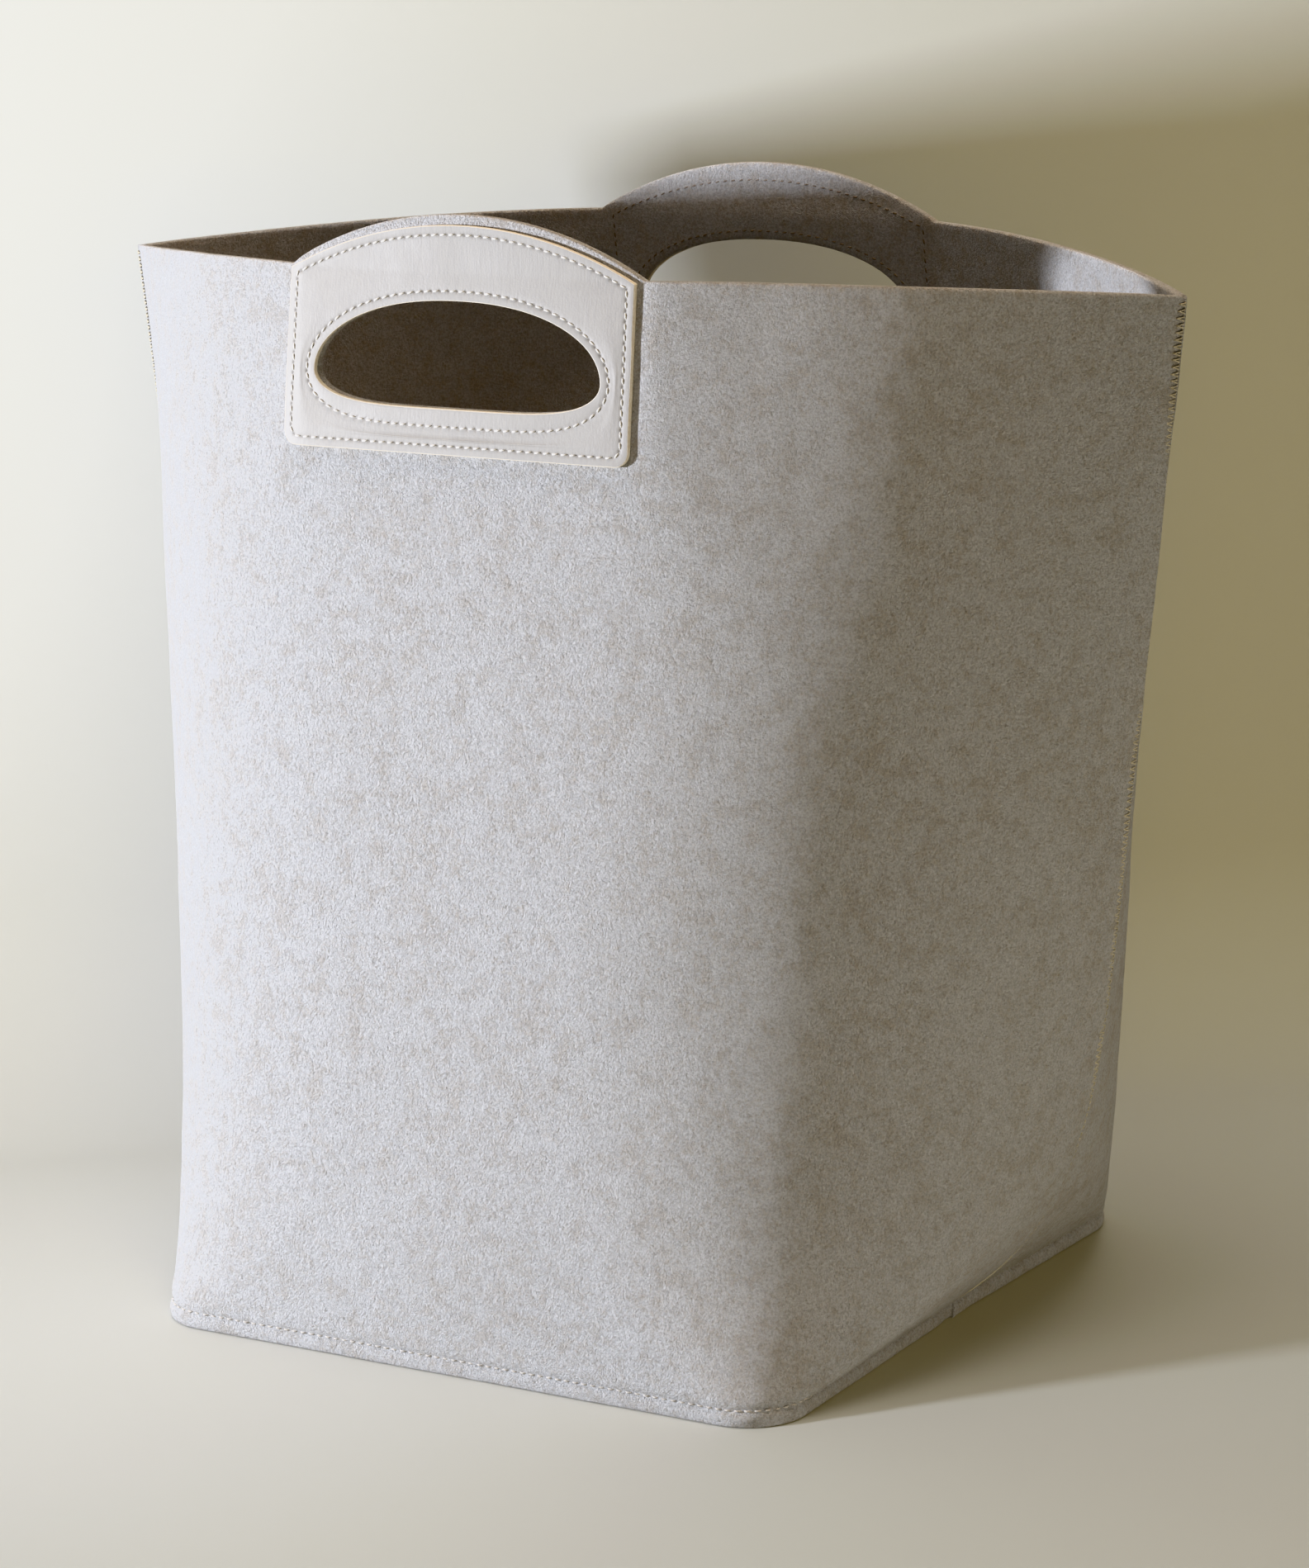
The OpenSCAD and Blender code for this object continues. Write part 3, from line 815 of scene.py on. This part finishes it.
def leather_material():
    """Smooth pale leather with a fine pebbled grain, with painted shade: dark brown at the needle holes
    and along the stitch groove.
    """
    m = Shader("facing_leather")
    place = m.place()
    cells = m.add("ShaderNodeTexVoronoi", {"Vector": place, "Scale": 1300.0}, feature="SMOOTH_F1")
    pores = m.noise(place, 2600.0, 2.0, 0.6)
    tone = m.noise(place, 60.0, 4.0, 0.6)
    lines = m.streaks(place, (0.0, 1.57, 0.0), 120.0, 12.0)
    painted_stitch_shade = m.add("ShaderNodeAttribute", attribute_name="painted_stitch_shade").outputs["Fac"]
    colour = m.blend(m.span(tone, 0.3, 0.7), (0.352, 0.333, 0.306), (0.388, 0.369, 0.341))
    colour = m.blend(m.span(lines, 0.35, 0.7, 0.0, 0.35), colour, (0.315, 0.30, 0.286))
    # Painted shade: the leather turns dark brown at the needle holes and along the stitch groove.
    colour = m.blend(m.span(painted_stitch_shade, 0.30, 1.0, 0.0, 0.50), colour, (0.12, 0.09, 0.065))
    height = m.math("ADD", m.math("MULTIPLY", cells.outputs["Distance"], 0.5),
                    m.math("ADD", m.math("MULTIPLY", pores, 0.3), m.math("MULTIPLY", lines, 0.5)))
    normal = m.bump(height, 0.00010, strength=0.8)
    rough = m.span(tone, 0.3, 0.7, 0.5, 0.62)
    return m.surface(Base_Color=colour, Roughness=rough, Normal=normal, Specular_IOR_Level=0.4)


def cut_edge_material():
    """The leather's raw cut edge and back: cream, with fine fibres."""
    m = Shader("facing_cut_edge")
    place = m.place()
    fine = m.noise(place, 900.0, 3.0, 0.6)
    colour = m.blend(m.span(fine, 0.3, 0.7), (0.71, 0.64, 0.52), (0.80, 0.755, 0.66))
    normal = m.bump(fine, 0.0002, strength=0.7)
    return m.surface(Base_Color=colour, Roughness=0.85, Normal=normal, Specular_IOR_Level=0.2)


def thread_material(name, pale, dark):
    """Spun thread: fine dark gaps between its fibres."""
    m = Shader(name)
    place = m.place()
    fine = m.noise(place, 2400.0, 2.0, 0.6)
    colour = m.blend(m.span(fine, 0.35, 0.65), dark, pale)
    normal = m.bump(fine, 0.0001, strength=0.8)
    return m.surface(Base_Color=colour, Roughness=0.7, Normal=normal, Specular_IOR_Level=0.3,
                     Sheen_Weight=0.2)


def backdrop_material():
    """Matt cream paper with hardly any change of tone."""
    m = Shader("backdrop_paper")
    place = m.place()
    tone = m.noise(place, 1.3, 2.0, 0.5)
    colour = m.blend(m.span(tone, 0.3, 0.7), (0.79, 0.775, 0.74), (0.82, 0.805, 0.775))
    return m.surface(Base_Color=colour, Roughness=0.9, Specular_IOR_Level=0.1)


felt = felt_material("wall_felt", (0.90, 0.90, 0.915), (0.68, 0.615, 0.54), (0.38, 0.30, 0.22))
base_felt = felt_material("base_felt", (0.80, 0.785, 0.755), (0.58, 0.48, 0.39), (0.36, 0.28, 0.20))
leather = leather_material()
cut_edge = cut_edge_material()
facing_thread = thread_material("facing_thread", (0.86, 0.85, 0.82), (0.66, 0.64, 0.60))
bobbin_thread = thread_material("bobbin_thread", (0.36, 0.31, 0.26), (0.16, 0.13, 0.10))
seam_thread = thread_material("seam_thread", (0.66, 0.61, 0.49), (0.44, 0.39, 0.27))
hem_thread = thread_material("hem_thread", (0.66, 0.63, 0.58), (0.44, 0.40, 0.35))

# ---------------------------------------------------------------- the object's pieces


def settle(obj, slot, *nodes):
    """obj rides on the root and stands for those CAD nodes, which are hidden. The slot argument is not
    used.
    """
    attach(obj, "root")
    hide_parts(*nodes)
    return obj


pieces = {}
for word, shift, side in (("front", FRONT_SHIFT, FRONT), ("back", BACK_SHIFT, BACK)):
    wall = settle(felt_wall(f"{word}_wall_felt", shift, side, felt), "wall_felt", f"{word}_wall")
    facing = leather_facing(f"{word}_facing_leather", shift, side, leather, cut_edge)
    settle(facing, "facing_leather", f"{word}_handle_facing")
    rows = {"edge": edge_stitch_line(), "hole": hole_line(HOLE_INSET, HOLE_INSET_LOW)}
    threads = [settle(facing_stitches(f"{word}_facing_{row}_stitches", line, shift, side,
                                      facing_thread, bobbin_thread),
                      "facing_thread", f"{word}_facing_{row}_thread")
               for row, line in rows.items()]
    hem = settle(hem_stitches(f"{word}_hem_stitches", side, hem_thread), "hem_thread",
                 f"{word}_hem_thread")
    pieces[word] = (wall, [facing, hem, *threads])
for word, direction in (("left", -1), ("right", 1)):
    settle(seam_zigzag(f"{word}_seam_zigzag", direction, seam_thread, bobbin_thread), "seam_thread",
           f"{word}_seam_thread")
base = settle(base_panel("base_panel_felt", base_felt), "base_felt", "base_panel")

sample = np.linspace(-HOLE_W, HOLE_W, 400)
ARCH_AREA = float(np.mean(arch(sample / HOLE_W * ARCH_W, ARCH_W, ARCH_H)) * 2 * ARCH_W)
for wall, parts in pieces.values():
    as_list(parts)

# ---------------------------------------------------------------- stage, camera and light

CAMERA_AT = Vector((1.02245, -1.70364, 0.65592))
CAMERA_YAW, CAMERA_TILT, CAMERA_ROLL = -0.537264, 0.219228, -0.01885
CAMERA_LENS = 110.78

level = Vector((math.sin(CAMERA_YAW), math.cos(CAMERA_YAW), 0))
right = Vector((math.cos(CAMERA_YAW), -math.sin(CAMERA_YAW), 0))
upright = Vector((0, 0, 1))
ahead = level * math.cos(CAMERA_TILT) - upright * math.sin(CAMERA_TILT)
above = level * math.sin(CAMERA_TILT) + upright * math.cos(CAMERA_TILT)
side_axis = right * math.cos(CAMERA_ROLL) + above * math.sin(CAMERA_ROLL)
up_axis = above * math.cos(CAMERA_ROLL) - right * math.sin(CAMERA_ROLL)

camera = bpy.data.objects.new("camera", bpy.data.cameras.new("camera"))
camera.data.lens = CAMERA_LENS
camera.data.sensor_width = 36.0
facing_way = Matrix((side_axis, up_axis, -ahead)).transposed().to_4x4()
camera.matrix_world = Matrix.Translation(CAMERA_AT) @ facing_way
bpy.context.scene.collection.objects.link(camera)
bpy.context.scene.camera = camera


def sweep(name, near, reach, radius, height, width, turned, material):
    """Floor and backdrop in one curved sheet, turned a little from the camera's line of sight."""
    ahead_flat = level * math.cos(turned) - right * math.sin(turned)
    along_wall = right * math.cos(turned) + level * math.sin(turned)
    arc = [math.pi / 2 * k / 32 for k in range(33)]
    flat = [(near + (reach - near) * k / 20, 0.0) for k in range(20)]
    flat += [(reach + radius * math.sin(a), radius * (1 - math.cos(a))) for a in arc]
    flat += [(reach + radius, radius + (height - radius) * k / 12) for k in range(1, 13)]
    points = [ahead_flat * d + along_wall * w + upright * z for d, z in flat for w in (-width, width)]
    k = np.arange(len(flat) - 1) * 2
    faces = np.stack([k, k + 1, k + 3, k + 2], 1)
    return add_mesh(name, np.array([list(p) for p in points]), [faces], [material])


backdrop = sweep("backdrop", -3.2, 0.21, 0.10, 2.6, 4.5, math.radians(8), backdrop_material())
backdrop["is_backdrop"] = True


def area_light(name, place, target, size, power, colour, spread):
    """A rectangular light at place that faces target."""
    light = bpy.data.lights.new(name, "AREA")
    light.shape = "RECTANGLE"
    light.size, light.size_y = size
    light.energy = power
    light.color = colour
    light.spread = math.radians(spread)
    obj = bpy.data.objects.new(name, light)
    obj.location = place
    obj.rotation_mode = "QUATERNION"
    obj.rotation_quaternion = (Vector(target) - Vector(place)).to_track_quat("-Z", "Y")
    bpy.context.scene.collection.objects.link(obj)
    return obj


def only_on(light, *objects):
    """The light falls on these objects and on nothing else; everything still shades it."""
    lit = bpy.data.collections.new(light.name + "_lit")
    for obj in objects:
        lit.objects.link(obj)
    light.light_linking.receiver_collection = lit


# (name, place, target, size, power in watts, colour, spread in degrees)
BIN_LIGHTS = [
    ("key", (-0.865, -0.855, 0.362), (0.02, -0.05, 0.26), (0.075, 0.075), 26.0, (0.935, 0.97, 1.075), 180),
    ("fill", (1.7, -1.6, 0.9), (0.1, 0, 0.15), (1.4, 1.2), 2.1, (1.0, 0.97, 1.00), 180),
    ("low_bounce", (1.0, -0.35, 0.10), (0.15, -0.05, 0.05), (0.5, 0.15), 2.8, (1.0, 0.89, 0.70), 180),
    ("glow", (0.1, 0.0, 1.6), (0.0, 0.05, 0.2), (0.8, 0.5), 12.0, (1.0, 0.75, 0.50), 180),
    ("top", (-0.3, -0.9, 2.4), (0, -0.2, 0), (1.6, 1.6), 4.8, (0.96, 0.97, 1.02), 180)]
PAPER_LIGHTS = [
    ("key_on_paper", (-0.56, -0.95, 0.352), (0.02, -0.05, 0.71), (0.12, 0.12), 8.8,
     (0.845, 0.905, 1.0), 110),
    ("wash", (1.5, -1.7, 0.55), (0.2, 0.3, 0.3), (1.2, 0.9), 8.4, (1.0, 0.80, 0.14), 180),
    ("paper_top", (0.3, -0.6, 2.4), (0.1, 0, 0), (1.6, 1.6), 15.5, (1.0, 0.94, 0.82), 180)]
WORLD_COLOUR, WORLD_STRENGTH = (1.0, 0.93, 0.80, 1.0), 0.06

bin_parts = [obj for obj in bpy.context.scene.objects if obj.type == "MESH" and obj is not backdrop]
for row in BIN_LIGHTS:
    only_on(area_light(*row), *bin_parts)
for row in PAPER_LIGHTS:
    only_on(area_light(*row), backdrop)

world = bpy.data.worlds.new("room")
bpy.context.scene.world = world
world.use_nodes = True
world.node_tree.nodes["Background"].inputs["Color"].default_value = WORLD_COLOUR
world.node_tree.nodes["Background"].inputs["Strength"].default_value = WORLD_STRENGTH
bpy.context.scene.view_settings.view_transform = "Khronos PBR Neutral"

# ---------------------------------------------------------------- sizes and the end

sizes = {"cad": cad_box, "visual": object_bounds()}
{key: [list(low), list(high)] for key, (low, high) in sizes.items()}
